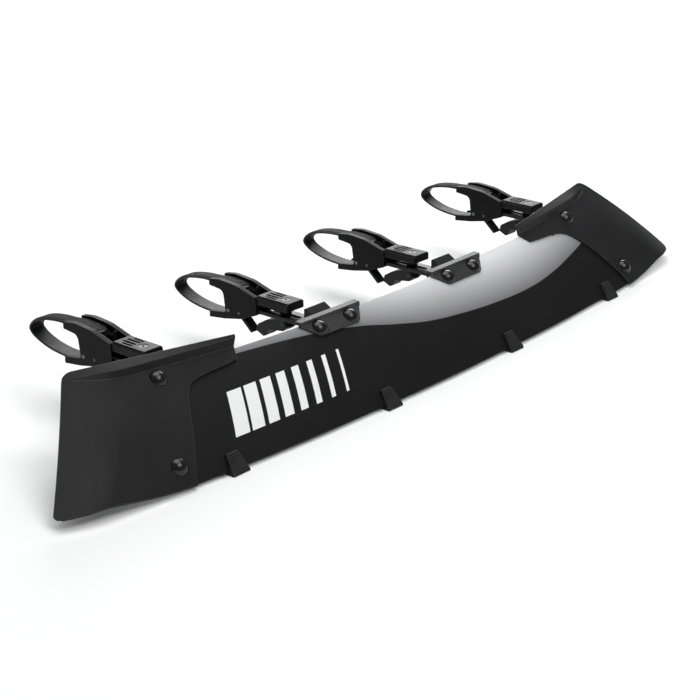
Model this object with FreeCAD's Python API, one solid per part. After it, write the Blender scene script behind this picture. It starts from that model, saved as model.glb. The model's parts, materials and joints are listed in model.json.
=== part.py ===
import FreeCAD, Part
import math
import os

V = FreeCAD.Vector
os.makedirs("parts", exist_ok=True)

# ---------------------------------------------------------------- dimensions
# Frame: X along the fairing, Y from its nose to the crossbar, Z up, mm.
STATIONS = {
    "left_outer": -412.5,
    "left_inner": -137.5,
    "right_inner": 137.5,
    "right_outer": 412.5,
}

# Panel: a sloping bent sheet, described along its slope (u) and square to it (n).
PANEL_NOSE_Y = -6.0
PANEL_NOSE_Z = 8.5
PANEL_SLOPE_DEG = 40.8
PANEL_LENGTH = 140.7
PANEL_BOTTOM_U = -4.0
PANEL_THICKNESS = 3.0
PANEL_ROLL = 6.0
BOW_SPAN = 300.0
BOW_BOTTOM = 8.5
BOW_TOP = 5.0
TOP_RISE = 5.4
PANEL_END_BOTTOM_X = 506.0
PANEL_END_TOP_X = 470.0

# End caps
CAP_THICKNESS = 3.5
CAP_TONGUE_X = 303.0
CAP_BEND_BOTTOM_X = 597.0
CAP_BEND_TOP_X = 480.0
CAP_BEND_BOTTOM_U = 6.5
CAP_CREASE_U = 139.5
CAP_CREASE_RISE = 8.2
LIP_RISE_TONGUE = V(0, 0.4, 11.5)
LIP_RISE_BEND = V(0, 3.0, 9.5)
LIP_BACK_TONGUE = V(303.0, 113.0, 121.0)
LIP_BACK_BEND = V(480.0, 145.4, 127.8)
LIP_BACK_CORNER = V(549.0, 158.5, 130.5)
CAP_CORNER_RADIUS = 22.0

# Clamp caps
CLAMP_TOP_HALF = 56.5
CLAMP_BOTTOM_HALF = 38.0
CLAMP_U = (117.0, 138.5)
CLAMP_THICKNESS = 3.2
CLAMP_CORNER_RADIUS = 9.0

# Domed fasteners
DOME_RADIUS = 12.0
DOME_HEIGHT = 7.5
SHANK_RADIUS = 3.0
SHANK_HOLE_RADIUS = 3.1
CLAMP_SCREW_OFFSET = 30.5
CLAMP_SCREW_U = 128.5
CAP_RIVETS = ((440.0, 141.4), (488.0, 23.0))

# Feet
FOOT_WIDTH = 28.0
FOOT_DEPTH = 28.0
FOOT_TAB = 17.0
FOOT_TAB_HALF = 9.5

# Brackets: the jaw tip is the point the bracket is measured from.
JAW_TIP = {"inner": (307.0, 113.5), "outer": (293.0, 130.0)}
HINGE_BACK = {"inner": 177.0, "outer": 164.0}
HINGE_DROP = 29.5
HEAD_HALF = 19.0
CHANNEL_HALF = 12.2
STRAP_HALF = 11.5
STRAP_THICKNESS = 3.0
STRAP_PIN = (-36.0, -38.7)
STRAP_PIN_RADIUS = 2.5
LEVER_PIN = (-56.0, -38.5)
LEVER_PIN_RADIUS = 2.0
LEVER_HALF = 7.2
RAIL_HALF = 15.0
RAIL_THICKNESS = 5.0
RAIL_LENGTH = 107.0
RAIL_EYE_RADIUS = 5.5
TILT_PIN_RADIUS = 2.5
RUNNING_FIT = 0.05
ARM_HALF = 17.0
ARM_FRONT = -145.0
ARM_TOP = -6.0
ARM_BOTTOM = -18.0
BOLT_BACK = -128.0
BOLT_RADIUS = 3.0
CAM_PIN = (BOLT_BACK, -41.0)
CAM_PIN_RADIUS = 2.2
CAM_HALF = 10.0

SLOPE = math.radians(PANEL_SLOPE_DEG)
ALONG = V(0, math.cos(SLOPE), math.sin(SLOPE))
NORMAL = V(0, -math.sin(SLOPE), math.cos(SLOPE))
X_AXIS = V(1, 0, 0)


# ------------------------------------------------------------ panel surface
def bow(x, u):
    """Rearward sweep of the sheet at length x and slope position u."""
    share = u / PANEL_LENGTH
    depth = BOW_BOTTOM + (BOW_TOP - BOW_BOTTOM) * share
    return depth * (x / BOW_SPAN) ** 2


def roll(u):
    """Outward bulge of the sheet at slope position u."""
    share = u / PANEL_LENGTH
    return 4.0 * PANEL_ROLL * share * (1.0 - share)


def on_panel(x, u, n=0.0):
    """Point at length x, slope position u and height n over the sheet's face."""
    nose = V(x, PANEL_NOSE_Y + bow(x, u), PANEL_NOSE_Z)
    return nose + ALONG * u + NORMAL * (roll(u) + n)


def top_u(x):
    """Slope position of the sheet's top edge."""
    return PANEL_LENGTH + TOP_RISE * (x / BOW_SPAN) ** 2


def crease_u(x):
    """Slope position of the crease under the end cap's lip."""
    return CAP_CREASE_U + CAP_CREASE_RISE * (x / BOW_SPAN) ** 2


# --------------------------------------------------------------- primitives
def cubic_poles(a, b, c, d):
    """Bezier poles of the cubic through four evenly spaced points."""
    second = (a * -5.0 + b * 18.0 + c * -9.0 + d * 2.0) * (1.0 / 6.0)
    third = (a * 2.0 + b * -9.0 + c * 18.0 + d * -5.0) * (1.0 / 6.0)
    return [a, second, third, d]


def bezier_face(poles):
    """Face on a Bezier surface given by rows of poles."""
    rows = len(poles)
    columns = len(poles[0])
    surface = Part.BSplineSurface()
    surface.buildFromPolesMultsKnots(
        poles, [rows, rows], [columns, columns], [0.0, 1.0], [0.0, 1.0],
        False, False, rows - 1, columns - 1)
    return surface.toShape()


def block(place):
    """Solid swept by place(s, t, w): cubic in s and t, straight in w."""
    layers = []
    for w in (0.0, 1.0):
        rows = []
        for i in range(4):
            samples = [place(i / 3.0, j / 3.0, w) for j in range(4)]
            rows.append(cubic_poles(*samples))
        columns = [cubic_poles(*[rows[i][j] for i in range(4)]) for j in range(4)]
        layers.append([[columns[j][i] for j in range(4)] for i in range(4)])
    low, high = layers
    faces = [bezier_face(low), bezier_face(high)]
    for i in (0, 3):
        faces.append(bezier_face([low[i], high[i]]))
    for j in (0, 3):
        near = [low[i][j] for i in range(4)]
        far = [high[i][j] for i in range(4)]
        faces.append(bezier_face([near, far]))
    shell = Part.makeShell(faces)
    shell.sewShape()
    return solid_of(shell)


def solid_of(shell):
    """Outward-facing solid inside a closed shell."""
    solid = Part.makeSolid(shell)
    if solid.Volume < 0:
        solid.reverse()
    return solid


def sheet(corners, low, high):
    """Piece of sheet over four (x, u) corners, from height low to high."""
    (ax, au), (bx, bu), (cx, cu), (dx, du) = corners

    def place(s, t, w):
        x = (ax * (1 - s) + bx * s) * (1 - t) + (dx * (1 - s) + cx * s) * t
        u = (au * (1 - s) + bu * s) * (1 - t) + (du * (1 - s) + cu * s) * t
        return on_panel(x, u, low + (high - low) * w)

    return block(place)


def spline(points):
    curve = Part.BSplineCurve()
    curve.interpolate(points)
    return curve.toShape()


def prism(edges, way):
    """Solid made by pushing a closed loop of edges along a vector."""
    wire = Part.Wire(Part.__sortEdges__(edges))
    return Part.Face(wire).extrude(way)


def flat(x, u):
    """Point of the level plane under the sheet, below (x, u)."""
    point = on_panel(x, u)
    depth = (point - V(0, PANEL_NOSE_Y, PANEL_NOSE_Z)).dot(NORMAL)
    return point - NORMAL * (depth + 60.0)


def flat_line(start, end, steps=8):
    """Curve in the level plane under a straight (x, u) line."""
    points = []
    for i in range(steps + 1):
        share = i / steps
        x = start[0] + (end[0] - start[0]) * share
        u = start[1] + (end[1] - start[1]) * share
        points.append(flat(x, u))
    return spline(points)


def rounded(points):
    """Closed outline through (y, z, radius) corners, in the plane x = 0."""
    edges = []
    count = len(points)
    ends = []
    for i in range(count):
        before = V(0, *points[i - 1][:2])
        corner = V(0, *points[i][:2])
        after = V(0, *points[(i + 1) % count][:2])
        back = (before - corner).normalize()
        on = (after - corner).normalize()
        radius = points[i][2]
        half = back.getAngle(on) / 2.0
        if radius <= 0:
            ends.append((corner, None, corner))
            continue
        reach = radius / math.tan(half)
        middle = (back + on).normalize()
        centre = corner + middle * (radius / math.sin(half))
        ends.append((corner + back * reach, centre - middle * radius, corner + on * reach))
    for i in range(count):
        first, middle, last = ends[i]
        if middle is not None:
            edges.append(Part.Arc(first, middle, last).toShape())
        edges.append(Part.makeLine(last, ends[(i + 1) % count][0]))
    return edges


def slab(points, half, centre=0.0):
    """Side outline of (y, z, radius) corners pushed out to a width about x = centre."""
    solid = prism(rounded(points), V(2.0 * half, 0, 0))
    solid.translate(V(centre - half, 0, 0))
    return solid


def box(x, y, z):
    """Box spanning three (low, high) ranges."""
    return Part.makeBox(x[1] - x[0], y[1] - y[0], z[1] - z[0], V(x[0], y[0], z[0]))


def rod(radius, half, at):
    """Round bar along X, centred on x = 0, at (y, z)."""
    return Part.makeCylinder(radius, 2.0 * half, V(-half, at[0], at[1]), X_AXIS)


def mirrored(shape):
    return shape.mirror(V(0, 0, 0), X_AXIS)


def write(name, shape):
    shape.exportStep("parts/" + name + ".step")


# --------------------------------------------------------- domed fasteners
def square_to(x, u):
    """Direction square to the sheet at (x, u)."""
    across = on_panel(x + 1, u) - on_panel(x - 1, u)
    up = on_panel(x, u + 1) - on_panel(x, u - 1)
    return across.cross(up).normalize()


def under(x, u, base):
    """Sheet filling the room below height base, round (x, u)."""
    reach = DOME_RADIUS + 8.0
    corners = ((x - reach, u - reach), (x + reach, u - reach),
               (x + reach, u + reach), (x - reach, u + reach))
    return sheet(corners, base - 12.0, base)


def screw(x, u, base, reach, head):
    """Fastener head trimmed to the surface at height base, with its shank."""
    way = square_to(x, u)
    seat = on_panel(x, u) + way * base
    shank = Part.makeCylinder(SHANK_RADIUS, reach + 1.0, seat + way, way * -1)
    return head.cut(under(x, u, base)).fuse(shank).removeSplitter()


def dome_screw(x, u, base, reach):
    """Fastener with a large domed head."""
    way = square_to(x, u)
    seat = on_panel(x, u) + way * base
    radius = (DOME_RADIUS ** 2 + DOME_HEIGHT ** 2) / (2.0 * DOME_HEIGHT)
    ball = Part.makeSphere(radius, seat + way * (DOME_HEIGHT - radius))
    keep = Part.makeCylinder(DOME_RADIUS, DOME_HEIGHT + 3, seat - way * 2, way)
    return screw(x, u, base, reach, ball.common(keep))


def dome_pocket(x, u, base):
    """Room cleared round a domed head, above height base."""
    way = square_to(x, u)
    seat = on_panel(x, u) + way * (base - 2.0)
    room = Part.makeCylinder(DOME_RADIUS + 0.3, 20.0, seat, way)
    return room.cut(under(x, u, base))


def pan_screw(x, u, base, reach):
    """Fastener with a low flat head."""
    way = square_to(x, u)
    seat = on_panel(x, u) + way * base
    return screw(x, u, base, reach, Part.makeCylinder(5.0, 3.0, seat - way, way))


def screw_hole(x, u):
    way = square_to(x, u)
    seat = on_panel(x, u) + way * 20.0
    return Part.makeCylinder(SHANK_HOLE_RADIUS, 50.0, seat, way * -1)


def clamp_screw_places():
    places = []
    for centre in (STATIONS["left_inner"], STATIONS["right_inner"]):
        for side in (-1, 1):
            places.append((centre + side * CLAMP_SCREW_OFFSET, CLAMP_SCREW_U))
    return places


def rivet_places():
    return [(side * x, u) for side in (-1, 1) for x, u in CAP_RIVETS]


def shoe_screw_places():
    """Hidden screws of the outer shoes, under the end caps."""
    places = []
    for centre in (STATIONS["left_outer"], STATIONS["right_outer"]):
        for side in (-1, 1):
            places.append((centre + side * CLAMP_SCREW_OFFSET, CLAMP_SCREW_U))
    return places


# -------------------------------------------------------------------- panel
def panel_outline():
    left_bottom = (-PANEL_END_BOTTOM_X, PANEL_BOTTOM_U)
    right_bottom = (PANEL_END_BOTTOM_X, PANEL_BOTTOM_U)
    top = [flat(x, top_u(x)) for x in span(-PANEL_END_TOP_X, PANEL_END_TOP_X, 16)]
    edges = [flat_line(left_bottom, right_bottom, 16), spline(top)]
    edges.append(Part.makeLine(edges[0].lastVertex().Point, top[-1]))
    edges.append(Part.makeLine(top[0], edges[0].firstVertex().Point))
    return prism(edges, NORMAL * 160.0)


def span(start, end, steps):
    return [start + (end - start) * i / steps for i in range(steps + 1)]


def panel_blank(low=-PANEL_THICKNESS, high=0.0, start=-640.0, end=640.0):
    """Untrimmed sheet between two lengths and two heights."""
    bottom = PANEL_BOTTOM_U
    return sheet(((start, bottom), (end, bottom), (end, 175), (start, 175)), low, high)


def make_panel():
    panel = panel_blank().common(panel_outline())
    for x, u in clamp_screw_places() + rivet_places() + shoe_screw_places():
        panel = panel.cut(screw_hole(x, u))
    return panel.removeSplitter()


# ----------------------------------------------------------------- end caps
def cap_field():
    """Flat part of the cap, from its tongue to the bend."""
    bottom = (CAP_BEND_BOTTOM_X, CAP_BEND_BOTTOM_U)
    top = (CAP_BEND_TOP_X, crease_u(CAP_BEND_TOP_X))
    inner_top = (CAP_TONGUE_X, top[1])
    return sheet(((CAP_TONGUE_X, -40.0), bottom, top, inner_top), 0.0, CAP_THICKNESS)


def wing_edge(t):
    """Outer edge of the wing, from its bottom corner up to its crease."""
    bottom = V(660, 53, 14)
    top = V(549, 150, 124)
    bulge = NORMAL * (5.0 * 4 * t * (1 - t))
    return bottom * (1 - t) + top * t + bulge


def wing_root(t, n):
    x = CAP_BEND_BOTTOM_X + (CAP_BEND_TOP_X - CAP_BEND_BOTTOM_X) * t
    u = CAP_BEND_BOTTOM_U + (crease_u(CAP_BEND_TOP_X) - CAP_BEND_BOTTOM_U) * t
    return on_panel(x, u, n)


def wing():
    """Part of the cap beyond the bend, sweeping back past the panel's end."""
    def place(s, t, w):
        root = wing_root(t, CAP_THICKNESS * w)
        tip = wing_edge(t) - NORMAL * (CAP_THICKNESS * (1 - w))
        run = tip - root
        ahead = root + V(run.x * 0.5, run.y * 0.19, run.z * 0.30)
        return root * (1 - s) ** 2 + ahead * (2 * s * (1 - s)) + tip * s ** 2

    return block(place)


def wing_crease(s):
    """Point along the wing's top edge, from the bend (0) to the outer corner (1)."""
    end = wing_edge(1.0)
    start = on_panel(CAP_BEND_TOP_X, crease_u(CAP_BEND_TOP_X), CAP_THICKNESS)
    run = end - start
    ahead = start + V(run.x * 0.5, run.y * 0.19, run.z * 0.30)
    return start * (1 - s) ** 2 + ahead * (2 * s * (1 - s)) + end * s ** 2


def strip(low, high, back):
    """Solid between two edges given as functions of s, thickened along a vector."""
    def place(s, t, w):
        return low(s) * (1 - t) + high(s) * t + back * w

    return block(place)


def between(start, end):
    """Straight edge as a function of s."""
    return lambda s: start * (1 - s) + end * s


def cap_crease(s):
    """Crease under the lip, from the tongue's end (0) to the bend (1)."""
    x = CAP_TONGUE_X + (CAP_BEND_TOP_X - CAP_TONGUE_X) * s
    return on_panel(x, crease_u(x), CAP_THICKNESS)


def cap_ridge(s):
    """Front edge of the lip's top face, above the crease."""
    return cap_crease(s) + LIP_RISE_TONGUE * (1 - s) + LIP_RISE_BEND * s


def cap_lip():
    """Lip along the cap's top edge: a steep wall and a top face, out to the corner."""
    corner = wing_edge(1.0) + V(0, 0.3, 1.0)
    outer_ridge = between(cap_ridge(1.0), corner)
    back = V(0, 2.6, 0)
    down = V(0, 1.2, -2.6)
    parts = [
        strip(lambda s: cap_crease(s) * 1.12 - cap_ridge(s) * 0.12, cap_ridge, back),
        strip(cap_ridge, between(LIP_BACK_TONGUE, LIP_BACK_BEND), down),
        strip(lambda s: wing_crease(s) - V(0, 0.4, 1.2), outer_ridge, back),
        strip(outer_ridge, between(LIP_BACK_BEND, LIP_BACK_CORNER), down),
    ]
    return parts[0].fuse(parts[1:])


def cap_rim():
    """Narrow flange down the wing's outer edge, widest at the top."""
    reach = LIP_BACK_CORNER - wing_edge(1.0)

    def far(t):
        return wing_edge(t) + reach * (0.12 + 0.88 * t)

    return strip(lambda t: wing_edge(t) - reach * 0.08, far, V(-2.6, 0, -1.4))


def cap_outline():
    """Prism over the L-shaped part of the cap between its tongue and the bend."""
    crease = [flat(x, crease_u(x)) for x in span(310.0, CAP_BEND_TOP_X, 8)]
    inner = [flat(320, 129.5), flat(340, 127.3), flat(366, 126), flat(394, 122.8)]
    inner += [flat(409, 116.5), flat(420, 104.5), flat(429.5, 89.5), flat(443, 63)]
    inner += [flat(457, 35), flat(469, 13), flat(477, -6.5)]
    bottom = [flat(477, -6.5), flat(508, -4.8), flat(538, -1.8), flat(565, 2.0)]
    bottom += [flat(CAP_BEND_BOTTOM_X, CAP_BEND_BOTTOM_U)]
    beyond = bottom[-1] + V(100, 0, 0)
    above = crease[-1] + V(217, 0, 0)
    edges = [
        spline(crease),
        Part.makeLine(crease[0], inner[0]),
        spline(inner),
        spline(bottom),
        Part.makeLine(bottom[-1], beyond),
        Part.makeLine(beyond, above),
        Part.makeLine(above, crease[-1]),
    ]
    return prism(edges, NORMAL * 200.0)


def tongue_trim():
    """Prism that slants the inner end of the lip."""
    start = flat(310.0, crease_u(310.0))
    foot = start + V(3.0, 0, 0) + ALONG * -7.0
    head = start + V(-10.0, 0, 0) + ALONG * 22.0
    far = V(270.0, 0, 0)
    edges = [
        Part.makeLine(foot, head),
        Part.makeLine(head, V(far.x, head.y, head.z)),
        Part.makeLine(V(far.x, head.y, head.z), V(far.x, foot.y, foot.z)),
        Part.makeLine(V(far.x, foot.y, foot.z), foot),
    ]
    return prism(edges, NORMAL * 200.0)


def corner_trim(at, inward_a, inward_b, radius):
    """Prism that removes a square corner outside a fillet in the level plane."""
    a = inward_a.normalize()
    b = inward_b.normalize()
    half = a.getAngle(b) / 2.0
    reach = radius / math.tan(half)
    middle = (a + b).normalize()
    centre = at + middle * (radius / math.sin(half))
    first = at + a * reach
    last = at + b * reach
    outside = at - middle * 30.0
    edges = [
        Part.Arc(first, centre - middle * radius, last).toShape(),
        Part.makeLine(last, last - a * 30.0),
        Part.makeLine(last - a * 30.0, outside),
        Part.makeLine(outside, first - b * 30.0),
        Part.makeLine(first - b * 30.0, first),
    ]
    return prism(edges, NORMAL * 240.0)


def level(point):
    """Drop a point onto the level plane used for outlines."""
    depth = (point - V(0, PANEL_NOSE_Y, PANEL_NOSE_Z)).dot(NORMAL)
    return point - NORMAL * (depth + 60.0)


def make_end_cap():
    """Right-hand end cap."""
    field = cap_field().common(cap_outline())
    cap = field.fuse([wing(), cap_lip().cut(tongue_trim()), cap_rim()])
    top = level(LIP_BACK_CORNER)
    bottom = level(wing_edge(0.0))
    inward = level(LIP_BACK_BEND) - top
    cap = cap.cut(corner_trim(top, inward, bottom - top, CAP_CORNER_RADIUS))
    inner = level(wing_root(0.0, 0.0))
    cap = cap.cut(corner_trim(bottom, inner - bottom, top - bottom, 7.0))
    for x, u in CAP_RIVETS:
        cap = cap.cut(screw_hole(x, u))
    for side in (-1, 1):
        x = STATIONS["right_outer"] + side * CLAMP_SCREW_OFFSET
        way = square_to(x, CLAMP_SCREW_U)
        seat = on_panel(x, CLAMP_SCREW_U, 0.0) - way
        cap = cap.cut(Part.makeCylinder(5.2, 3.3, seat, way))
    return cap


# --------------------------------------------------------------- clamp caps
def make_clamp_cap(centre):
    """Cover that pinches the panel's top edge against an inner shoe."""
    low, high = CLAMP_U
    corners = (
        (centre - CLAMP_BOTTOM_HALF, low),
        (centre + CLAMP_BOTTOM_HALF, low),
        (centre + CLAMP_TOP_HALF, high),
        (centre - CLAMP_TOP_HALF, high),
    )
    field = sheet(corners, 0.0, CLAMP_THICKNESS)
    sections = []
    for x in span(centre - CLAMP_TOP_HALF - 1.5, centre + CLAMP_TOP_HALF + 1.5, 3):
        crease = on_panel(x, high, CLAMP_THICKNESS)
        sections.append(Part.makePolygon([
            crease + NORMAL * -CLAMP_THICKNESS + ALONG * -0.01,
            crease + ALONG * -0.01,
            crease + V(0, 0.8, 6.2),
            crease + V(0, 10.4, 6.6),
            crease + V(0, 10.4, 3.8),
            crease + V(0, 6.5, 3.6),
            crease + NORMAL * -CLAMP_THICKNESS + ALONG * -0.01,
        ]))
    lip = Part.makeLoft(sections, True, False)
    edge = panel_blank(-PANEL_THICKNESS - 1.5, 0.0, centre - 80, centre + 80)
    lip = lip.cut(edge.common(panel_outline()))
    for here, there, above in ((0, 1, 3), (1, 0, 2)):
        corner, across, up = (flat(*corners[i]) for i in (here, there, above))
        field = field.cut(corner_trim(corner, across - corner, up - corner, CLAMP_CORNER_RADIUS))
    places = (centre - CLAMP_SCREW_OFFSET, centre + CLAMP_SCREW_OFFSET)
    for x in places:
        lip = lip.cut(dome_pocket(x, CLAMP_SCREW_U, CLAMP_THICKNESS))
    cap = field.fuse(lip)
    for x in places:
        cap = cap.cut(screw_hole(x, CLAMP_SCREW_U))
    return cap.removeSplitter()


# --------------------------------------------------------------------- feet
def make_foot(centre):
    """Rubber foot gripping the panel's bottom edge."""
    edge = on_panel(centre, 0.0)

    def corner(u, n, radius):
        point = on_panel(centre, u, n)
        return (point.y, point.z, radius)

    body = slab([
        corner(FOOT_TAB, 4.8, 1.5),
        corner(-11.0, 4.8, 3.0),
        (edge.y - 11.5, 0.0, 1.5),
        (edge.y - 11.5 + FOOT_DEPTH, 0.0, 3.0),
        (edge.y - 11.0 + FOOT_DEPTH, 6.0, 2.0),
        corner(9.0, -7.5, 1.5),
        corner(9.0, -1.5, 0.0),
        corner(FOOT_TAB, -1.5, 0.0),
    ], FOOT_WIDTH / 2.0, centre)
    for step in range(4):
        rib = on_panel(centre, FOOT_TAB - 3.0 - 3.2 * step, 4.6)
        body = body.fuse(rod_at(0.9, FOOT_TAB_HALF - 2.0, centre, rib))
    body = body.common(foot_outline(centre))
    foot = body.cut(panel_blank(-PANEL_THICKNESS, 0.0, centre - 30, centre + 30))
    return biggest(foot)


def foot_outline(centre):
    """Prism that narrows the foot's tab towards its top."""
    half = FOOT_WIDTH / 2.0
    corners = [
        flat(centre - half, -60), flat(centre + half, -60),
        flat(centre + half, -9), flat(centre + FOOT_TAB_HALF, FOOT_TAB + 1),
        flat(centre + FOOT_TAB_HALF, 60), flat(centre - FOOT_TAB_HALF, 60),
        flat(centre - FOOT_TAB_HALF, FOOT_TAB + 1), flat(centre - half, -9),
    ]
    lines = [Part.makeLine(corners[i - 1], corners[i]) for i in range(len(corners))]
    return prism(lines, NORMAL * 160.0)


def rod_at(radius, half, centre, point):
    return Part.makeCylinder(radius, 2.0 * half, V(centre - half, point.y, point.z), X_AXIS)


def biggest(shape):
    return max(shape.Solids, key=lambda solid: solid.Volume)


# ------------------------------------------------------------------ bracket
def shoe_outline(kind, edge):
    """Side outline of the shoe, from the panel's top edge back round the hinge."""
    y, z = hinge_point(kind)
    back = edge.y + 6.5
    if kind == "inner":
        top = z + 27.0
        upper = [(back, top, 1.5), (y - 1.0, top, 3.0), (y - 1.0, z + 14.0, 0.0)]
        front = (back, top - 14.0, 0.0)
    else:
        top = z + 13.0
        upper = [(back, top, 1.5), (y + 3.0, top, 3.0)]
        front = (back - 2.0, top - 6.0, 0.0)
    lower = [
        (y + 6.9, z + 4.0, 2.0),
        (y + 6.9, z - 6.9, 6.0),
        (y - 8.0, z - 6.9, 6.0),
        (edge.y - 12.0, edge.z - 22.0, 2.0),
        (edge.y - 18.0, edge.z - 19.5, 0.0),
    ]
    return upper + lower + [front]


def shoe_flange(centre):
    """Plate behind the panel that takes the shoe's screws."""
    half = CLAMP_SCREW_OFFSET + 9.0
    low, high = CLAMP_SCREW_U - 9.0, CLAMP_SCREW_U + 9.0
    corners = (
        (centre - half, low), (centre + half, low),
        (centre + half, high), (centre - half, high),
    )
    return sheet(corners, -PANEL_THICKNESS - 5.0, -PANEL_THICKNESS)


def make_shoe(name):
    """Rear half of the clamp, with the fork that carries the tilt pin."""
    centre = STATIONS[name]
    kind = name.split("_")[1]
    y, z = hinge_point(kind)
    edge = on_panel(centre, top_u(centre))
    body = slab(shoe_outline(kind, edge), HEAD_HALF, centre)
    body = body.cut(panel_blank(-PANEL_THICKNESS, 30.0, centre - 60, centre + 60))
    gap = RAIL_EYE_RADIUS + 1.0
    half = RAIL_HALF + 0.2
    body = body.cut(box((centre - half, centre + half), (y - gap, y + 30.0), (z - 20.0, z + gap)))
    shoe = biggest(body).fuse(shoe_flange(centre))
    for side in (-1, 1):
        shoe = shoe.cut(screw_hole(centre + side * CLAMP_SCREW_OFFSET, CLAMP_SCREW_U))
    pin = rod(TILT_PIN_RADIUS, HEAD_HALF + 1.0, (y, z))
    pin.translate(V(centre, 0, 0))
    return biggest(shoe.cut(pin))


def hinge_point(kind):
    tip = JAW_TIP[kind]
    return (tip[0] - HINGE_BACK[kind], tip[1] - HINGE_DROP)


def make_rail():
    """Slotted rail, measured from its hinge eye."""
    half = RAIL_THICKNESS / 2.0
    bar = box((-RAIL_HALF, RAIL_HALF), (0, RAIL_LENGTH), (-half, half))
    rail = bar.fuse(rod(RAIL_EYE_RADIUS, RAIL_HALF, (0, 0)))
    slot = box((-3.6, 3.6), (25.0, 80.0), (-9, 9))
    slot = slot.fuse(Part.makeCylinder(3.6, 18, V(0, 25.0, -9)))
    fork = box((-8.2, 8.2), (75.0, RAIL_LENGTH + 1), (-9, 9))
    rail = rail.cut(slot).cut(fork)
    for side in (-1, 1):
        for step in range(6):
            notch = box((-2.5, 2.5), (0, 1.6), (0, 1.0))
            notch.translate(V(side * 11.6, 30.0 + 5.0 * step, -half - 0.2))
            rail = rail.cut(notch)
    return rail.cut(rod(TILT_PIN_RADIUS + RUNNING_FIT, RAIL_HALF + 1, (0, 0))).removeSplitter()


def head_side():
    """Side outline of the head: two jaws round the mouth, measured from the jaw tip."""
    return [
        (0.0, 0.0, 1.0),
        (-20.0, 3.2, 40.0),
        (-52.0, 1.0, 60.0),
        (-88.0, -9.0, 2.0),
        (-90.0, -34.0, 2.5),
        (-60.0, -46.0, 30.0),
        (-30.0, -52.2, 60.0),
        (0.0, -56.0, 1.5),
        (0.0, -47.0, 1.0),
        (-31.5, -42.5, 4.0),
        (-27.0, -11.5, 9.0),
        (-1.0, -9.0, 1.0),
    ]


def make_head():
    head = slab(head_side(), HEAD_HALF)
    channel = slab([
        (5.0, -7.2, 0.0),
        (-22.0, -5.4, 60.0),
        (-48.0, -7.6, 30.0),
        (-64.0, -12.0, 2.0),
        (-72.0, 20.0, 0.0),
        (5.0, 20.0, 0.0),
    ], CHANNEL_HALF)
    well = box((-CHANNEL_HALF, CHANNEL_HALF), (-86.0, -66.0), (-20.0, 20.0))
    strap_way = slab([
        (5.0, -53.4, 0.0),
        (-30.0, -48.8, 0.0),
        (-36.0, -47.0, 0.0),
        (-43.6, -43.0, 3.0),
        (-43.6, -31.0, 4.0),
        (-25.0, -31.0, 0.0),
        (5.0, -38.0, 0.0),
    ], CHANNEL_HALF)
    lever_way = box((-LEVER_HALF - 0.4, LEVER_HALF + 0.4), (-67.0, -45.6), (-60.0, 5.0))
    rail_way = box((-RAIL_HALF - 0.3, RAIL_HALF + 0.3), (-95.0, -46.5),
                   (-HINGE_DROP - RAIL_THICKNESS / 2 - 0.3, -HINGE_DROP + RAIL_THICKNESS / 2 + 0.3))
    socket = box((-ARM_HALF + 4.0, ARM_HALF - 4.0), (-95.0, -87.0), (ARM_BOTTOM + 2, ARM_TOP - 4))
    head = head.cut([channel, well, strap_way, lever_way, rail_way, socket])
    head = head.cut(rod(STRAP_PIN_RADIUS, HEAD_HALF + 1, STRAP_PIN))
    head = head.cut(rod(LEVER_PIN_RADIUS, HEAD_HALF + 1, LEVER_PIN))
    return biggest(head)


def make_arm():
    """Box arm reaching forward from the head over the rail."""
    rear = -89.4
    arm = box((-ARM_HALF, ARM_HALF), (ARM_FRONT, rear), (ARM_BOTTOM, ARM_TOP))
    long_edges = [edge for edge in arm.Edges
                  if abs(edge.Vertexes[0].X - edge.Vertexes[-1].X) < 0.1
                  and abs(edge.Vertexes[0].Z - edge.Vertexes[-1].Z) < 0.1
                  and edge.Vertexes[0].Z > ARM_TOP - 1.0]
    arm = arm.makeChamfer(3.0, long_edges)
    for side in (-1, 1):
        for inner, outer, rear_end in ((1.6, 5.6, -96.0), (8.0, 11.6, -101.0)):
            x_range = sorted((side * inner, side * outer))
            arm = arm.cut(box(x_range, (-118.5, rear_end), (ARM_TOP - 4.0, ARM_TOP + 1.0)))
    under = box((-ARM_HALF + 3.0, ARM_HALF - 3.0), (ARM_FRONT + 3.0, rear - 3.0),
                (ARM_BOTTOM - 1.0, ARM_BOTTOM + 5.5))
    arm = arm.cut(under)
    gap = 0.2
    foot = -HINGE_DROP + RAIL_THICKNESS / 2.0 + gap
    boss = Part.makeCylinder(8.0, ARM_TOP - 3.0 - foot, V(0, BOLT_BACK, foot))
    tongue = box((-ARM_HALF + 4.0, ARM_HALF - 4.0), (rear - 1.0, -87.0), (ARM_BOTTOM + 2, ARM_TOP - 4))
    arm = arm.fuse([boss, tongue])
    arm = arm.cut(Part.makeCylinder(BOLT_RADIUS, 60.0, V(0, BOLT_BACK, -50.0)))
    arm = arm.cut(Part.makeCylinder(6.2, 10.0, V(0, BOLT_BACK, ARM_TOP - 3.0)))
    return biggest(arm.cut(slab(head_side(), HEAD_HALF).cut(
        box((-ARM_HALF + 4.0, ARM_HALF - 4.0), (-95.0, -87.0), (ARM_BOTTOM + 2, ARM_TOP - 4)))))


def strap_path():
    """Centre line of the band, from its anchor eye round the loop to its free end."""
    return [
        (-36.0, -43.4), (-26.0, -46.6), (-12.0, -49.0), (4.0, -50.6), (24.0, -49.6),
        (44.0, -46.4), (62.0, -40.6), (73.0, -34.4), (76.4, -28.4), (72.0, -21.4),
        (60.0, -14.0), (44.0, -9.2), (24.0, -6.0), (4.0, -4.9), (-16.0, -3.0),
        (-36.0, -3.4), (-56.0, -6.4),
    ]


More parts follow.
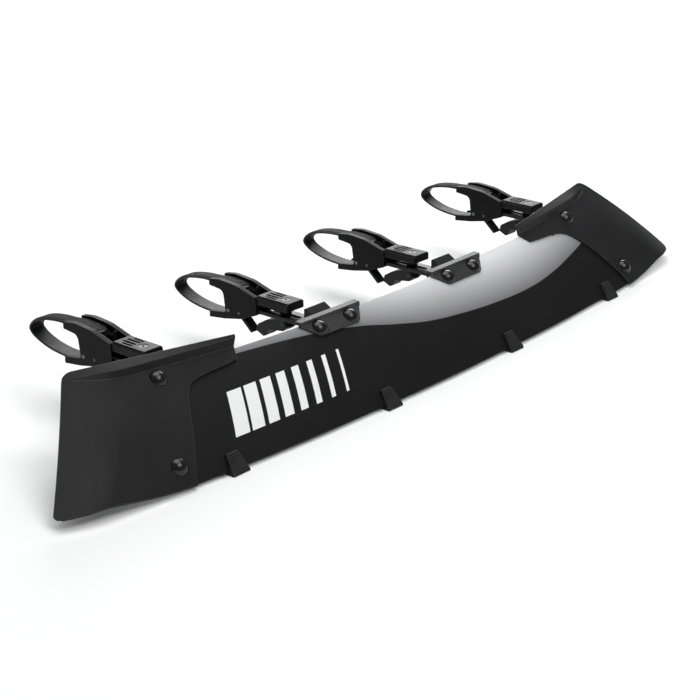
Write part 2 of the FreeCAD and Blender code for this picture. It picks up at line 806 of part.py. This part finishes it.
def make_strap():
    """Toothed band whose loop takes the crossbar."""
    half = STRAP_THICKNESS / 2.0
    curve = Part.BSplineCurve()
    curve.interpolate([V(0, y, z) for y, z in strap_path()])
    first, last = curve.FirstParameter, curve.LastParameter
    outer, inner = [], []
    for i in range(61):
        at = first + (last - first) * i / 60.0
        point = curve.value(at)
        tangent = curve.tangent(at)[0]
        side = V(0, tangent.z, -tangent.y)
        outer.append(point + side * half)
        inner.append(point - side * half)
    edges = [spline(outer), spline(inner)]
    edges.append(Part.makeLine(outer[0], inner[0]))
    edges.append(Part.makeLine(outer[-1], inner[-1]))
    band = prism(edges, V(2.0 * STRAP_HALF, 0, 0))
    band.translate(V(-STRAP_HALF, 0, 0))
    end = strap_path()[-1]
    tip = Part.makeCylinder(STRAP_HALF, 20.0, V(0, end[0] + STRAP_HALF, end[1] - 10.0))
    tail = box((-STRAP_HALF, STRAP_HALF), (end[0] + STRAP_HALF, 90.0), (-60.0, 10.0))
    lower = box((-STRAP_HALF, STRAP_HALF), (-60.0, 90.0), (-60.0, end[1] - 9.0))
    band = band.common(tip.fuse([tail, lower]))
    eye = rod(4.7 + half, STRAP_HALF, STRAP_PIN)
    for step in range(13):
        y = -51.0 + 2.8 * step
        z = -3.3 - 0.0026 * (y + 22.0) ** 2 + half
        rib = box((-STRAP_HALF + 2.5, STRAP_HALF - 2.5), (y, y + 1.3), (z - 1.6, z + 0.7))
        band = band.fuse(rib)
    band = band.fuse(eye)
    return biggest(band.cut(rod(STRAP_PIN_RADIUS, STRAP_HALF + 1, STRAP_PIN)))


def make_lever():
    """Release lever: a tab below the head and a pawl arm reaching up to the band."""
    y, z = LEVER_PIN
    tab = slab([
        (y - 3.0, z + 3.0, 2.0),
        (y + 3.6, z + 2.0, 2.0),
        (y + 8.4, z - 6.0, 4.0),
        (y + 6.6, z - 12.5, 4.0),
        (-68.5, -67.6, 1.6),
        (-72.0, -65.0, 1.6),
        (-53.5, -48.5, 4.0),
        (-54.5, -43.5, 2.0),
    ], LEVER_HALF)
    pawl = slab([
        (y - 2.5, z - 1.0, 0.0),
        (y + 3.0, z - 1.0, 0.0),
        (y + 7.0, -10.5, 1.0),
        (y + 4.5, -8.7, 1.0),
        (y + 1.5, -10.5, 1.0),
    ], LEVER_HALF - 0.4)
    lever = tab.fuse([pawl, rod(4.4, LEVER_HALF, LEVER_PIN)])
    return biggest(lever.cut(rod(LEVER_PIN_RADIUS + RUNNING_FIT, 20.0, LEVER_PIN)))


def make_bolt():
    """Bolt through the arm and the rail's slot, ending in a cross pin."""
    head = Part.makeCylinder(5.8, 2.4, V(0, BOLT_BACK, ARM_TOP - 3.0))
    socket = Part.makePolygon([V(2.4 * math.cos(math.radians(60 * k)),
                                 BOLT_BACK + 2.4 * math.sin(math.radians(60 * k)),
                                 ARM_TOP - 2.2) for k in range(7)])
    shank = Part.makeCylinder(BOLT_RADIUS, ARM_TOP - 2.0 - CAM_PIN[1], V(0, *CAM_PIN))
    eye = rod(4.4, 3.4, CAM_PIN)
    bolt = head.fuse([shank, eye, rod(CAM_PIN_RADIUS, CAM_HALF, CAM_PIN)])
    return bolt.cut(Part.Face(socket).extrude(V(0, 0, 5))).removeSplitter()


def make_cam():
    """Cam lever on the bolt's cross pin, lying under the rail when locked."""
    lever = slab([
        (-137.5, -43.5, 3.0),
        (-132.0, -32.6, 6.0),
        (-120.0, -33.6, 4.0),
        (-98.0, -41.0, 6.0),
        (-84.0, -49.5, 3.0),
        (-81.5, -59.5, 3.0),
        (-94.0, -65.0, 3.0),
        (-99.0, -63.0, 2.0),
        (-103.0, -53.5, 4.0),
        (-132.0, -49.0, 6.0),
    ], CAM_HALF)
    fork = box((-3.8, 3.8), (-145.0, BOLT_BACK + 3.4), (CAM_PIN[1] - 4.0, -30.0))
    grip = box((-6.0, 6.0), (-92.0, -86.0), (-49.0, -43.0))
    lever = lever.cut([fork, grip, rod(4.7, 3.8, CAM_PIN)])
    return biggest(lever.cut(rod(CAM_PIN_RADIUS + RUNNING_FIT, 20.0, CAM_PIN)))


def placed(shape, centre, at):
    copy = shape.copy()
    copy.translate(V(centre, at[0], at[1]))
    return copy


def write_brackets():
    from_tip = {
        "head": make_head(),
        "arm": make_arm(),
        "strap": make_strap(),
        "strap_pin": rod(STRAP_PIN_RADIUS, HEAD_HALF, STRAP_PIN),
        "lever_pin": rod(LEVER_PIN_RADIUS, HEAD_HALF - 0.5, LEVER_PIN),
        "lever": make_lever(),
        "clamp_bolt": make_bolt(),
        "cam_lever": make_cam(),
    }
    from_hinge = {
        "rail": make_rail(),
        "tilt_pin": rod(TILT_PIN_RADIUS, HEAD_HALF, (0, 0)),
    }
    for name, centre in STATIONS.items():
        kind = name.split("_")[1]
        for part, shape in from_tip.items():
            write(part + "_" + name, placed(shape, centre, JAW_TIP[kind]))
        for part, shape in from_hinge.items():
            write(part + "_" + name, placed(shape, centre, hinge_point(kind)))
        write("shoe_" + name, make_shoe(name))


def write_fasteners():
    base = CLAMP_THICKNESS
    reach = CLAMP_THICKNESS + PANEL_THICKNESS + 5.0
    screws = [dome_screw(x, u, base, reach) for x, u in clamp_screw_places()]
    write("clamp_screws", Part.Compound(screws))
    reach = CAP_THICKNESS + PANEL_THICKNESS + 2.0
    rivets = [dome_screw(x, u, CAP_THICKNESS, reach) for x, u in rivet_places()]
    write("cap_rivets", Part.Compound(rivets))
    hidden = []
    for x, u in shoe_screw_places():
        hidden.append(pan_screw(x, u, 0.0, PANEL_THICKNESS + 5.0))
    write("outer_shoe_screws", Part.Compound(hidden))


write("panel", make_panel())
right_cap = make_end_cap()
write("end_cap_right", right_cap)
write("end_cap_left", mirrored(right_cap))
for side_name in ("left_inner", "right_inner"):
    write("clamp_cap_" + side_name.split("_")[0], make_clamp_cap(STATIONS[side_name]))
for foot_name, foot_x in STATIONS.items():
    write("foot_" + foot_name, make_foot(foot_x))
write_fasteners()
write_brackets()
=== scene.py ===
"""Visual model of a roof-rack wind fairing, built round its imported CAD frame."""

import json
import math

import bmesh
import bpy
from mathutils import Matrix, Vector


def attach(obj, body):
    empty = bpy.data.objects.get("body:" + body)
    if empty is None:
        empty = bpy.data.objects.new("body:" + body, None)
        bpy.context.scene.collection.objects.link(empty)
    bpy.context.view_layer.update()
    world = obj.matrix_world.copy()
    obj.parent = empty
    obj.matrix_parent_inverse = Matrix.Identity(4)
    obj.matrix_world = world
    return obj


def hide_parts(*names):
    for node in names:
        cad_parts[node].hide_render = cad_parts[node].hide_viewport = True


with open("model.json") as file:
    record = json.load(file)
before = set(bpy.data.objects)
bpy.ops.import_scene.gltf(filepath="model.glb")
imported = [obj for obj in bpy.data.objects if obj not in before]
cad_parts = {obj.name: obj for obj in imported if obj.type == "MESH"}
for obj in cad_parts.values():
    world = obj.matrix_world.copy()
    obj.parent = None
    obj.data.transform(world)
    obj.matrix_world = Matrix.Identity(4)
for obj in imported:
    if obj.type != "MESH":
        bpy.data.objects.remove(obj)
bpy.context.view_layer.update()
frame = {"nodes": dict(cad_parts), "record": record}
NODES = frame["nodes"]
MOUNTS = {mount["name"]: mount for mount in frame["record"]["mounts"]}
STATIONS = ("left_outer", "left_inner", "right_inner", "right_outer")

# Sheet surface, as built in CAD (metres)
NOSE = Vector((0.0, -0.006, 0.0085))
SLOPE = math.radians(40.8)
BOW_DEPTH = 0.0063
BOW_SPAN = 0.3

# Print on the sheet: x across, u up the slope (metres)
SLOPE_LENGTH = 0.2
HALF_WIDTH_SHARE = 0.5
FIELD_EDGE_SOFTNESS = 0.0004
# The silver field goes from painted shade to painted highlight over this height up the slope; painted light,
# not print.
FIELD_PAINTED_LIGHT_HEIGHT = 0.072
BARS_LOW = 0.034
BARS_HIGH = 0.092
BARS_START = -0.392
BAR_PITCH = 0.028
BAR_COUNT = 8
BAR_LEAN = 0.45
FIRST_BAR_WIDTH = 0.84
BAR_THINNING = 0.095

# Lower edge of the silver field: share of the curve's width, share of the slope's length
FIELD_EDGE = (
    (0.0, 0.76), (0.14, 0.70), (0.21, 0.68), (0.31, 0.63), (0.39, 0.56), (0.46, 0.46), (0.515, 0.394),
    (0.577, 0.353), (0.668, 0.319), (0.747, 0.315), (0.809, 0.343), (0.882, 0.408), (0.96, 0.5), (1.0, 0.56),
)

MILLIMETRE = 0.001

# Bracket, measured from the tip of its upper jaw (metres)
SEAT_TO_TIP = 0.028
BAND_HALF = 0.0115
BAND_THICKNESS = 0.003
BAND_CORNER = 0.0006
BAND_TIP_HALF = 0.0012
TOOTH_HALF = 0.009
TOOTH_SLOPE = 0.0003
TOOTH_PITCH = 0.0034
TOOTH_HEIGHT = 0.0012
RINGS_PER_TOOTH = 6
TOOTHED_FROM = -0.034
PLAIN_TIP = 0.006
CURVE_STEPS = 24
EYE_CENTRE = Vector((0.0, -0.036, -0.0387))
EYE_SECTION = (
    (-0.0115, 0.0025), (0.0115, 0.0025), (0.0115, 0.0054),
    (0.0108, 0.0062), (-0.0108, 0.0062), (-0.0115, 0.0054),
)
EYE_TURNS = 36

# Stage (metres, watts)
FLOOR_HALF = 14.0
LIGHT_TARGET = (0.0, 0.15, 0.05)
EYE_POINT = (-1.7343, -1.2961, 0.8761)
EYE_RIGHT = (0.648641, -0.761094, 0.0)
EYE_UP = (0.275287, 0.234613, 0.932295)
EYE_BACK = (-0.709564, -0.604725, 0.361700)


# ------------------------------------------------------------ shader graphs
class Graph:
    """Node material under construction."""

    def __init__(self, name):
        self.material = bpy.data.materials.new(name)
        self.material.use_nodes = True
        self.tree = self.material.node_tree
        self.tree.nodes.clear()
        self.shader = self.add("ShaderNodeBsdfPrincipled")
        out = self.add("ShaderNodeOutputMaterial")
        self.tree.links.new(self.shader.outputs[0], out.inputs["Surface"])
        self.place = self.add("ShaderNodeTexCoord").outputs["Object"]

    def add(self, kind, **values):
        node = self.tree.nodes.new(kind)
        for name, value in values.items():
            setattr(node, name, value)
        return node

    def feed(self, socket, value):
        if isinstance(value, bpy.types.NodeSocket):
            self.tree.links.new(value, socket)
        elif isinstance(value, (tuple, list)) and len(value) == 3 and socket.type == "RGBA":
            socket.default_value = (*value, 1.0)
        else:
            socket.default_value = value

    def math(self, operation, a, b=0.0, clamp=False):
        node = self.add("ShaderNodeMath", operation=operation, use_clamp=clamp)
        self.feed(node.inputs[0], a)
        self.feed(node.inputs[1], b)
        return node.outputs[0]

    def mix(self, share, a, b):
        node = self.add("ShaderNodeMix", data_type="RGBA")
        self.feed(node.inputs["Factor"], share)
        self.feed(node.inputs["A"], a)
        self.feed(node.inputs["B"], b)
        return node.outputs["Result"]

    def ramp(self, value, low, high):
        node = self.add("ShaderNodeMapRange")
        self.feed(node.inputs["Value"], value)
        node.inputs["From Min"].default_value = low
        node.inputs["From Max"].default_value = high
        return node.outputs["Result"]

    def noise(self, scale, detail=2.0, stretch=(1.0, 1.0, 1.0)):
        mapping = self.add("ShaderNodeMapping")
        self.feed(mapping.inputs["Vector"], self.place)
        mapping.inputs["Scale"].default_value = stretch
        node = self.add("ShaderNodeTexNoise")
        self.feed(node.inputs["Vector"], mapping.outputs[0])
        node.inputs["Scale"].default_value = scale
        node.inputs["Detail"].default_value = detail
        return node.outputs["Fac"]

    def cells(self, scale):
        node = self.add("ShaderNodeTexVoronoi")
        self.feed(node.inputs["Vector"], self.place)
        node.inputs["Scale"].default_value = scale
        return node.outputs["Distance"]

    def soft_edges(self, radius):
        """Rounded normal at sharp edges, and how far it turns from the face's own."""
        bevel = self.add("ShaderNodeBevel", samples=4)
        bevel.inputs["Radius"].default_value = radius
        dot = self.add("ShaderNodeVectorMath", operation="DOT_PRODUCT")
        self.feed(dot.inputs[0], bevel.outputs[0])
        self.feed(dot.inputs[1], self.add("ShaderNodeNewGeometry").outputs["Normal"])
        turn = self.math("SUBTRACT", 1.0, dot.outputs["Value"])
        return bevel.outputs[0], self.ramp(turn, 0.01, 0.18)

    def bump(self, height, distance, normal):
        node = self.add("ShaderNodeBump")
        node.inputs["Strength"].default_value = 1.0
        node.inputs["Distance"].default_value = distance
        self.feed(node.inputs["Height"], height)
        self.feed(node.inputs["Normal"], normal)
        return node.outputs[0]

    def finish(self, **values):
        for name, value in values.items():
            self.feed(self.shader.inputs[name.replace("_", " ")], value)
        return self.material


def moulded(name, colour, roughness, grain=900.0, depth=0.00006, scuff_and_highlight=0.35, sheen=0.3):
    """Moulded plastic: fine grain, slow colour drift, edges lightened in patches by scuffing and by a
    painted edge highlight.
    """
    graph = Graph(name)
    normal, edge = graph.soft_edges(0.0014)
    drift = graph.ramp(graph.noise(11.0, 3.0), 0.3, 0.7)
    speck = graph.ramp(graph.noise(grain * 1.7, 1.0), 0.45, 0.75)
    lighter = tuple(min(1.0, c * 1.5 + 0.002) for c in colour)
    tint = graph.mix(graph.math("MULTIPLY", drift, 0.6), colour, lighter)
    tint = graph.mix(graph.math("MULTIPLY", speck, 0.25), tint, lighter)
    # Edges lightened in noisy patches: scuffing plus a painted edge highlight.
    scuff_and_highlight_mask = graph.math("MULTIPLY", edge, graph.ramp(graph.noise(160.0, 4.0), 0.2, 0.6))
    tint = graph.mix(graph.math("MULTIPLY", scuff_and_highlight_mask, scuff_and_highlight), tint, tuple(c + 0.16 for c in colour))
    rough = graph.math("ADD", roughness - 0.06, graph.math("MULTIPLY", graph.noise(70.0, 4.0), 0.14))
    height = graph.math("ADD", graph.noise(grain, 2.0), graph.cells(grain * 0.8))
    return graph.finish(
        Base_Color=tint,
        Roughness=rough,
        Specular_IOR_Level=sheen,
        Normal=graph.bump(height, depth, normal),
    )


def rubber(name, colour, roughness=0.6):
    """Soft rubber: matt, with a pale bloom in patches."""
    graph = Graph(name)
    normal, edge = graph.soft_edges(0.0007)
    bloom = graph.ramp(graph.noise(45.0, 5.0), 0.4, 0.75)
    tint = graph.mix(graph.math("MULTIPLY", bloom, 0.55), colour, tuple(c * 1.9 + 0.006 for c in colour))
    # Painted edge highlight: edges lightened.
    tint = graph.mix(graph.math("MULTIPLY", edge, 0.3), tint, tuple(c + 0.07 for c in colour))
    rough = graph.math("ADD", roughness, graph.math("MULTIPLY", graph.noise(120.0, 3.0), 0.15))
    height = graph.noise(1400.0, 3.0)
    return graph.finish(
        Base_Color=tint,
        Roughness=rough,
        Specular_IOR_Level=0.35,
        Normal=graph.bump(height, 0.00007, normal),
    )


def metal(name, colour, roughness, coat=0.0):
    """Turned or plated steel with fine lengthwise scratches."""
    graph = Graph(name)
    normal, edge = graph.soft_edges(0.0004)
    scratch = graph.noise(500.0, 3.0, (0.08, 1.0, 1.0))
    tint = graph.mix(graph.ramp(scratch, 0.3, 0.7), colour, tuple(c * 1.35 for c in colour))
    # Painted edge highlight: edges lightened.
    tint = graph.mix(graph.math("MULTIPLY", edge, 0.4), tint, tuple(min(1.0, c + 0.2) for c in colour))
    rough = graph.math("ADD", roughness - 0.08, graph.math("MULTIPLY", scratch, 0.2))
    return graph.finish(
        Base_Color=tint,
        Metallic=1.0,
        Roughness=rough,
        Coat_Weight=coat,
        Normal=graph.bump(scratch, 0.00003, normal),
    )


def field_edge(graph, along_x):
    """Slope position of the silver field's lower edge along the panel."""
    curve = graph.add("ShaderNodeFloatCurve")
    graph.feed(curve.inputs["Value"], graph.math("ADD", along_x, HALF_WIDTH_SHARE))
    line = curve.mapping.curves[0]
    line.points[0].location = FIELD_EDGE[0]
    line.points[-1].location = FIELD_EDGE[-1]
    for at, value in FIELD_EDGE[1:-1]:
        line.points.new(at, value)
    curve.mapping.update()
    return graph.math("MULTIPLY", curve.outputs[0], SLOPE_LENGTH)


def slanted_bars(graph, x, u):
    """Plain row of slanted printed bars that thin out towards the middle."""
    lean = graph.math("SUBTRACT", x, graph.math("MULTIPLY", graph.math("SUBTRACT", u, BARS_LOW), BAR_LEAN))
    run = graph.math("DIVIDE", graph.math("SUBTRACT", lean, BARS_START), BAR_PITCH)
    step = graph.math("FLOOR", run)
    part = graph.math("SUBTRACT", run, step)
    width = graph.math("SUBTRACT", FIRST_BAR_WIDTH, graph.math("MULTIPLY", step, BAR_THINNING))
    inside = graph.math("LESS_THAN", part, width)
    limits = (
        (u, BARS_LOW, "GREATER_THAN"), (u, BARS_HIGH, "LESS_THAN"),
        (run, 0.0, "GREATER_THAN"), (run, float(BAR_COUNT), "LESS_THAN"),
    )
    for value, limit, operation in limits:
        inside = graph.math("MULTIPLY", inside, graph.math(operation, value, limit))
    return inside


def panel_skin():
    """Black grained sheet with a silver upper field and a printed row of bars.

    The print goes by position alone, so it shows on both faces of the sheet.
    """
    graph = Graph("panel_skin")
    normal, edge = graph.soft_edges(0.001)
    split = graph.add("ShaderNodeSeparateXYZ")
    graph.feed(split.inputs[0], graph.place)
    x, y, z = split.outputs
    bow = graph.math("MULTIPLY", graph.math("POWER", graph.math("DIVIDE", x, BOW_SPAN), 2.0), BOW_DEPTH)
    back = graph.math("SUBTRACT", graph.math("SUBTRACT", y, NOSE.y), bow)
    rise = graph.math("SUBTRACT", z, NOSE.z)
    u = graph.math("ADD", graph.math("MULTIPLY", back, math.cos(SLOPE)),
                   graph.math("MULTIPLY", rise, math.sin(SLOPE)))
    over = graph.math("SUBTRACT", u, field_edge(graph, x))
    silver = graph.ramp(over, -FIELD_EDGE_SOFTNESS, FIELD_EDGE_SOFTNESS)
    # Painted light: the silver field is real print, but its ramp from dark grey at its lower edge to near
    # white at the top is painted shade and painted highlight standing in for the rolled-back top.
    height = graph.ramp(over, 0.0, FIELD_PAINTED_LIGHT_HEIGHT)
    flake = graph.noise(2200.0, 2.0)
    painted_light_ramp = graph.add("ShaderNodeValToRGB")
    graph.feed(painted_light_ramp.inputs[0], height)
    painted_light_ramp.color_ramp.elements[0].color = (0.158, 0.158, 0.160, 1.0)
    painted_light_ramp.color_ramp.elements[1].color = (0.86, 0.86, 0.865, 1.0)
    middle = painted_light_ramp.color_ramp.elements.new(0.38)
    middle.color = (0.40, 0.40, 0.403, 1.0)
    sparkle = graph.math("MULTIPLY", graph.ramp(flake, 0.35, 0.65), 0.12)
    # Silver colour: real print carrying the painted shade and highlight ramp, with random flake specks.
    paint = graph.mix(sparkle, painted_light_ramp.outputs[0], (0.9, 0.9, 0.92))
    drift = graph.ramp(graph.noise(7.0, 3.0), 0.3, 0.7)
    black = graph.mix(drift, (0.0048, 0.0048, 0.005), (0.0075, 0.0075, 0.0078))
    fleck = graph.math("MULTIPLY", graph.ramp(graph.noise(1500.0, 1.0), 0.5, 0.8), 0.25)
    black = graph.mix(fleck, black, (0.016, 0.016, 0.0165))
    base = graph.mix(silver, black, paint)
    bars = slanted_bars(graph, x, u)
    fade = graph.math("MULTIPLY", graph.noise(260.0, 4.0), 0.25)
    ink = graph.mix(fade, (0.88, 0.88, 0.88), (0.70, 0.70, 0.71))
    base = graph.mix(bars, base, ink)
    printed = graph.math("MAXIMUM", silver, bars)
    # Painted edge highlight: the sheet's edges are lightened, near white on the silver and grey on the
    # black.
    painted_edge_highlight = graph.mix(silver, (0.16, 0.16, 0.165), (0.95, 0.95, 0.95))
    base = graph.mix(graph.math("MULTIPLY", edge, 0.35), base, painted_edge_highlight)
    rough = graph.math("ADD", 0.46, graph.math("MULTIPLY", graph.noise(60.0, 4.0), 0.12))
    rough = graph.math("SUBTRACT", rough, graph.math("MULTIPLY", printed, 0.14))
    grain = graph.math("ADD", graph.noise(1100.0, 2.0), graph.cells(800.0))
    grain = graph.math("MULTIPLY", grain, graph.math("SUBTRACT", 1.0, graph.math("MULTIPLY", printed, 0.75)))
    return graph.finish(
        Base_Color=base,
        Roughness=rough,
        Metallic=graph.math("MULTIPLY", silver, 0.2),
        Specular_IOR_Level=graph.math("ADD", 0.16, graph.math("MULTIPLY", printed, 0.2)),
        Normal=graph.bump(grain, 0.00007, normal),
    )


# -------------------------------------------------------------------- meshes
def new_piece(name, points, faces, material, body, slot, *stands_for):
    mesh = bpy.data.meshes.new(name)
    mesh.from_pydata([tuple(point) for point in points], [], faces)
    mesh.update()
    piece = bpy.data.objects.new(name, mesh)
    bpy.context.scene.collection.objects.link(piece)
    mesh.materials.append(material)
    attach(piece, body)
    if stands_for:
        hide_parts(*stands_for)
    return piece


def smooth(piece, degrees):
    for polygon in piece.data.polygons:
        polygon.use_smooth = True
    piece.data.set_sharp_from_angle(angle=math.radians(degrees))
    return piece


def jaw_tip(station):
    """Tip of the upper jaw, straight above the crossbar's seat."""
    return Vector(MOUNTS["crossbar_seat_" + station]["pos_m"]) + Vector((0.0, 0.0, SEAT_TO_TIP))


def catmull(points, per_span):
    """Points along a smooth curve through the given (y, z) points."""
    path = []
    padded = [points[0] * 2 - points[1]] + points + [points[-1] * 2 - points[-2]]
    for i in range(1, len(padded) - 2):
        a, b, c, d = padded[i - 1:i + 3]
        for step in range(per_span):
            t = step / per_span
            path.append(0.5 * ((2 * b) + (c - a) * t + (2 * a - 5 * b + 4 * c - d) * t * t
                               + (3 * b - a - 3 * c + d) * t ** 3))
    path.append(points[-1])
    return path


def evenly(path, pitch):
    """The same curve with points about one pitch apart."""
    total = sum((b - a).length for a, b in zip(path, path[1:]))
    count = int(total / pitch)
    result, walked, index = [], 0.0, 0
    for i in range(count + 1):
        target = total * i / count
        while index < len(path) - 2 and walked + (path[index + 1] - path[index]).length < target:
            walked += (path[index + 1] - path[index]).length
            index += 1
        run = path[index + 1] - path[index]
        share = (target - walked) / run.length if run.length else 0.0
        result.append(path[index] + run * min(max(share, 0.0), 1.0))
    return result, total


# Middle line of the band from its anchor round the loop: y and z from the jaw's tip (millimetres)
BAND_PATH = (
    (-36.0, -43.4), (-26.0, -46.6), (-12.0, -49.0), (4.0, -50.6), (24.0, -49.6),
    (44.0, -46.4), (62.0, -40.6), (73.0, -34.4), (76.4, -28.4), (72.0, -21.4),
    (60.0, -14.0), (44.0, -9.2), (24.0, -6.0), (4.0, -4.9), (-16.0, -3.0),
    (-36.0, -3.4), (-56.0, -6.4),
)


def band_section(half, rib):
    """Section of the band: x across, n outwards; a toothed middle between flat margins."""
    thick = BAND_THICKNESS / 2.0
    soft = min(BAND_CORNER, half * 0.4)
    tooth = min(TOOTH_HALF, half * 0.8)
    return [
        (-half + soft, -thick), (half - soft, -thick), (half, -thick + soft), (half, thick - soft),
        (half - soft, thick), (tooth + TOOTH_SLOPE, thick), (tooth, thick + rib), (-tooth, thick + rib),
        (-tooth - TOOTH_SLOPE, thick), (-half + soft, thick), (-half, thick - soft), (-half, -thick + soft),
    ]


def strap(station, material):
    """Toothed elastic band looping round the bar, with its anchor eye."""
    tip = jaw_tip(station)
    path = catmull([Vector((y, z)) * MILLIMETRE for y, z in BAND_PATH], CURVE_STEPS)
    path, total = evenly(path, TOOTH_PITCH / RINGS_PER_TOOTH)
    points, faces = [], []
    ring = len(band_section(BAND_HALF, 0.0))
    for i, at in enumerate(path):
        before, after = path[max(i - 1, 0)], path[min(i + 1, len(path) - 1)]
        run = (after - before).normalized()
        out = Vector((run.y, -run.x))
        left = total * (1 - i / (len(path) - 1))
        half = BAND_HALF
        if left < BAND_HALF:
            half = max(math.sqrt(max(BAND_HALF ** 2 - (BAND_HALF - left) ** 2, 0.0)), BAND_TIP_HALF)
        toothed = at.y > TOOTHED_FROM and left > PLAIN_TIP
        rib = TOOTH_HEIGHT if toothed and i % RINGS_PER_TOOTH < RINGS_PER_TOOTH // 2 else 0.0
        for x, n in band_section(half, rib):
            spot = at + out * n
            points.append((tip.x + x, tip.y + spot.x, tip.z + spot.y))
    for i in range(len(path) - 1):
        for j in range(ring):
            a, b = i * ring + j, i * ring + (j + 1) % ring
            faces.append((a, b, b + ring, a + ring))
    faces.append(tuple(range(ring - 1, -1, -1)))
    last = (len(path) - 1) * ring
    faces.append(tuple(range(last, last + ring)))
    add_eye(points, faces, tip)
    return new_piece("strap_band_" + station, points, faces, material, station + "_head",
                     "strap_rubber", "strap_" + station)


def add_eye(points, faces, tip):
    """Rounded eye that holds the strap's pin."""
    centre = tip + EYE_CENTRE
    start = len(points)
    for i in range(EYE_TURNS):
        angle = 2 * math.pi * i / EYE_TURNS
        for x, radius in EYE_SECTION:
            points.append((centre.x + x, centre.y + radius * math.cos(angle),
                           centre.z + radius * math.sin(angle)))
    count = len(EYE_SECTION)
    for i in range(EYE_TURNS):
        here, there = start + i * count, start + ((i + 1) % EYE_TURNS) * count
        for j in range(count):
            k = (j + 1) % count
            faces.append((here + j, here + k, there + k, there + j))


def recalculate(piece):
    """Turn every face outwards."""
    work = bmesh.new()
    work.from_mesh(piece.data)
    bmesh.ops.recalc_face_normals(work, faces=work.faces)
    work.to_mesh(piece.data)
    work.free()
    return piece


# ------------------------------------------------------------------ finishes
FINE = {"grain": 1000.0, "depth": 0.00005}
MATERIALS = {
    "panel": panel_skin(),
    "end_cap": moulded("cap_plastic", (0.0125, 0.0125, 0.0132), 0.44, scuff_and_highlight=0.8, sheen=0.12, **FINE),
    "clamp_cap": moulded("clamp_plastic", (0.034, 0.034, 0.035), 0.42, scuff_and_highlight=0.8, sheen=0.16, **FINE),
    "clamp_screws": moulded("dome_plastic", (0.004, 0.004, 0.0045), 0.22,
                            grain=500.0, depth=0.00001, scuff_and_highlight=0.05, sheen=0.45),
    "foot": rubber("foot_rubber", (0.007, 0.007, 0.0073)),
    "shoe": moulded("shoe_plastic", (0.006, 0.006, 0.0064), 0.46, sheen=0.16),
    "head": moulded("bracket_plastic", (0.0042, 0.0042, 0.0047), 0.44, scuff_and_highlight=0.7, sheen=0.09),
    "arm": moulded("arm_plastic", (0.0045, 0.0045, 0.005), 0.42, scuff_and_highlight=0.8, sheen=0.13),
    "rail": moulded("rail_plastic", (0.007, 0.007, 0.0075), 0.38, scuff_and_highlight=0.6, sheen=0.2),
    "strap": rubber("strap_rubber", (0.0055, 0.0055, 0.0058), 0.46),
    "lever": moulded("lever_plastic", (0.006, 0.006, 0.0065), 0.4, sheen=0.14),
    "cam_lever": moulded("cam_plastic", (0.0045, 0.005, 0.0055), 0.34,
                         grain=500.0, depth=0.00002, sheen=0.18),
    "black_steel": metal("black_steel", (0.035, 0.035, 0.037), 0.42, coat=0.1),
    "pin": metal("pin_steel", (0.11, 0.112, 0.115), 0.42),
}
FINISH = {
    "cap_rivets": "clamp_screws", "clamp_bolt": "black_steel", "outer_shoe_screws": "black_steel",
    "tilt_pin": "pin", "strap_pin": "pin", "lever_pin": "pin",
}


def finish_of(node):
    """Finish for a CAD node, by the longest name it starts with."""
    keys = sorted(list(MATERIALS) + list(FINISH), key=len, reverse=True)
    for key in keys:
        if node.startswith(key):
            return MATERIALS[FINISH.get(key, key)]
    raise ValueError("no finish for " + node)


for node_name, node_object in NODES.items():
    material = finish_of(node_name)
    if not node_object.material_slots:
        node_object.data.materials.append(material)
    for material_slot in node_object.material_slots:
        material_slot.material = material

for station_name in STATIONS:
    smooth(recalculate(strap(station_name, MATERIALS["strap"])), 35.0)


# --------------------------------------------------------------------- stage
def area_light(name, place, size, power, size_y=None):
    """Rectangular lamp that faces the object."""
    light = bpy.data.lights.new(name, "AREA")
    light.shape = "RECTANGLE"
    light.size = size
    light.size_y = size_y or size
    light.energy = power
    lamp = bpy.data.objects.new(name, light)
    bpy.context.scene.collection.objects.link(lamp)
    lamp.location = place
    lamp.rotation_mode = "QUATERNION"
    lamp.rotation_quaternion = (Vector(LIGHT_TARGET) - Vector(place)).to_track_quat("-Z", "Y")


def studio_floor():
    """Plain pale floor, with a very faint mottle."""
    corners = [(x * FLOOR_HALF, y * FLOOR_HALF, 0.0) for x, y in ((-1, -1), (1, -1), (1, 1), (-1, 1))]
    mesh = bpy.data.meshes.new("studio_floor")
    mesh.from_pydata(corners, [], [(0, 1, 2, 3)])
    floor = bpy.data.objects.new("studio_floor", mesh)
    bpy.context.scene.collection.objects.link(floor)
    graph = Graph("studio_floor")
    mottle = graph.mix(graph.noise(2.0, 2.0), (0.88, 0.88, 0.88), (0.90, 0.90, 0.90))
    mesh.materials.append(graph.finish(Base_Color=mottle, Roughness=0.85, Specular_IOR_Level=0.1))


def studio():
    """Even pale world, three soft lamps and the floor."""
    scene = bpy.context.scene
    world = bpy.data.worlds.new("studio")
    world.use_nodes = True
    world.node_tree.nodes["Background"].inputs[0].default_value = (0.95, 0.97, 1.0, 1.0)
    world.node_tree.nodes["Background"].inputs[1].default_value = 0.2
    scene.world = world
    scene.view_settings.view_transform = "Standard"
    scene.view_settings.exposure = 0.0
    area_light("key", (-0.4, -2.2, 3.6), 2.2, 80.0)
    area_light("top", (0.2, 1.0, 3.8), 3.2, 100.0)
    area_light("rim", (2.8, 2.5, 1.6), 2.6, 85.0, 1.2)
    studio_floor()


def studio_camera():
    """Camera above and to the left of the nose, looking along the fairing."""
    camera = bpy.data.cameras.new("studio_camera")
    camera.sensor_width = 36.0
    camera.lens = 87.43
    camera.clip_start = 0.05
    camera.clip_end = 60.0
    eye = bpy.data.objects.new("studio_camera", camera)
    bpy.context.scene.collection.objects.link(eye)
    turn = Matrix((EYE_RIGHT, EYE_UP, EYE_BACK)).transposed().to_4x4()
    eye.matrix_world = Matrix.Translation(EYE_POINT) @ turn
    bpy.context.scene.camera = eye


studio()
studio_camera()
